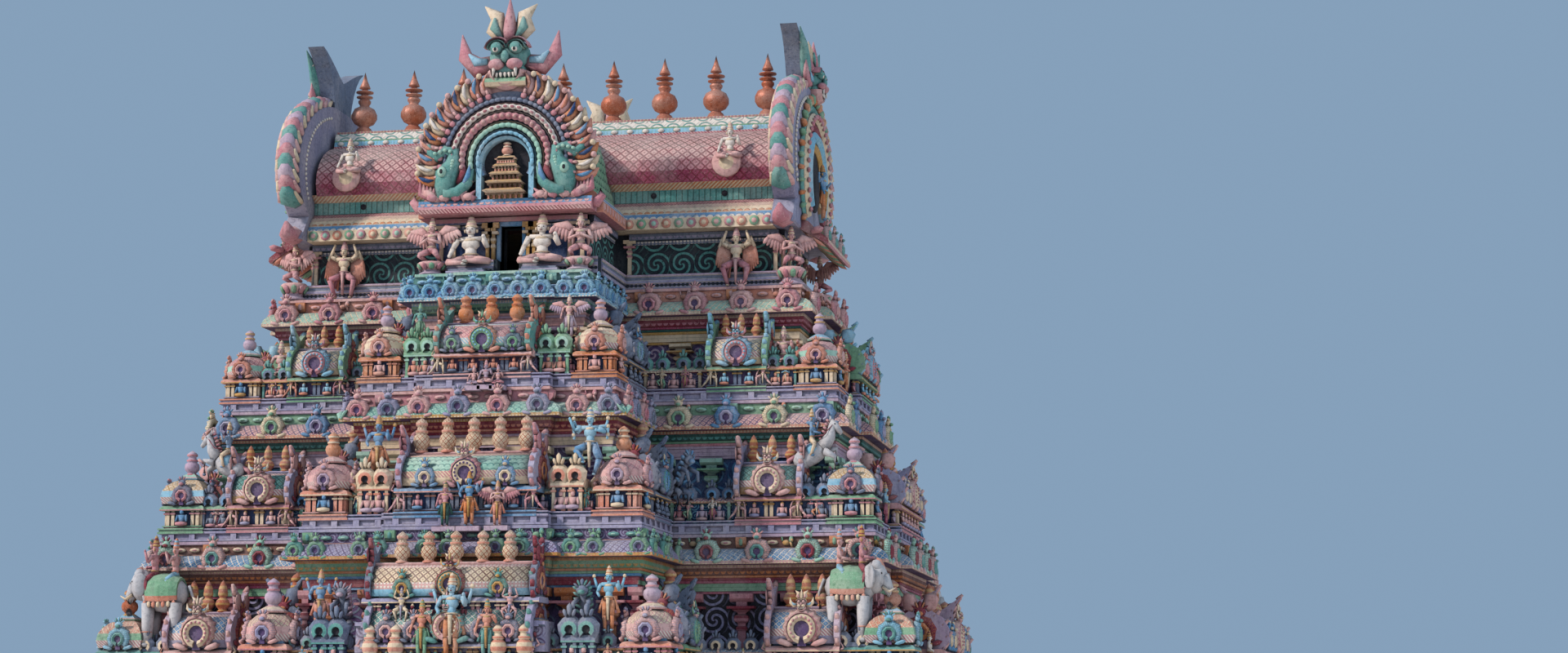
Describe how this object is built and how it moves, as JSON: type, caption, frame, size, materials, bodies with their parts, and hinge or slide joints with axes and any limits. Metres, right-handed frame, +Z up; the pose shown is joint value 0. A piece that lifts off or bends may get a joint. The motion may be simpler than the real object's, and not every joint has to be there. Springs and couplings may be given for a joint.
{
  "type": "painted south indian temple gateway tower",
  "caption": "Temple gateway tower with a stone base and passage, receding storeys of miniature shrines, and a barrel roof with gables and pot finials.",
  "frame": {"origin": "ground level, middle of the gateway passage", "axes": "+X along the roof ridge to the right seen from the front, -Y towards the front, +Z up"},
  "size_m": [23.2, 20.5, 29.2],
  "materials": {
    "granite": "rough dressed granite, weathered",
    "granite_cornice": "rough dressed granite, weathered",
    "floor": "lime plaster floor",
    "storey_wall": "painted stucco on brick, matt, dusty",
    "neck_wall": "painted stucco on brick, matt, dusty",
    "cornice_1": "painted stucco on brick, matt, dusty",
    "cornice_2": "painted stucco on brick, matt, dusty",
    "cornice_3": "painted stucco on brick, matt, dusty",
    "shrines_1": "painted stucco, matt, dusty",
    "shrines_2": "painted stucco, matt, dusty",
    "shrines_3": "painted stucco, matt, dusty",
    "vault": "painted stucco, matt, dusty",
    "cross_vault": "painted stucco, matt, dusty",
    "gable": "painted stucco, matt, dusty",
    "finial_copper": "beaten copper, semi-matt"
  },
  "bodies": {
    "root": {"base_left": "granite", "base_right": "granite", "gateway_ceiling": "granite", "base_cornice": "granite_cornice", "neck_floor": "floor", "main_vault": "vault", "front_cross_vault": "cross_vault", "back_cross_vault": "cross_vault", "right_gable": "gable", "left_gable": "gable", "ridge_finials": "finial_copper", "storey_1_front_wall": "storey_wall", "storey_1_front_shrines": "shrines_1", "storey_1_back_wall": "storey_wall", "storey_1_back_shrines": "shrines_1", "storey_1_left_wall": "storey_wall", "storey_1_left_shrines": "shrines_1", "storey_1_right_wall": "storey_wall", "storey_1_right_shrines": "shrines_1", "storey_1_cornice": "cornice_1", "storey_2_front_wall": "storey_wall", "storey_2_front_shrines": "shrines_2", "storey_2_back_wall": "storey_wall", "storey_2_back_shrines": "shrines_2", "storey_2_left_wall": "storey_wall", "storey_2_left_shrines": "shrines_2", "storey_2_right_wall": "storey_wall", "storey_2_right_shrines": "shrines_2", "storey_2_cornice": "cornice_2", "storey_3_front_wall": "storey_wall", "storey_3_front_shrines": "shrines_3", "storey_3_back_wall": "storey_wall", "storey_3_back_shrines": "shrines_3", "storey_3_left_wall": "storey_wall", "storey_3_left_shrines": "shrines_3", "storey_3_right_wall": "storey_wall", "storey_3_right_shrines": "shrines_3", "storey_3_cornice": "cornice_3", "neck_front_wall": "neck_wall", "neck_back_wall": "neck_wall", "neck_left_wall": "neck_wall", "neck_right_wall": "neck_wall"}
  },
  "joints": []
}
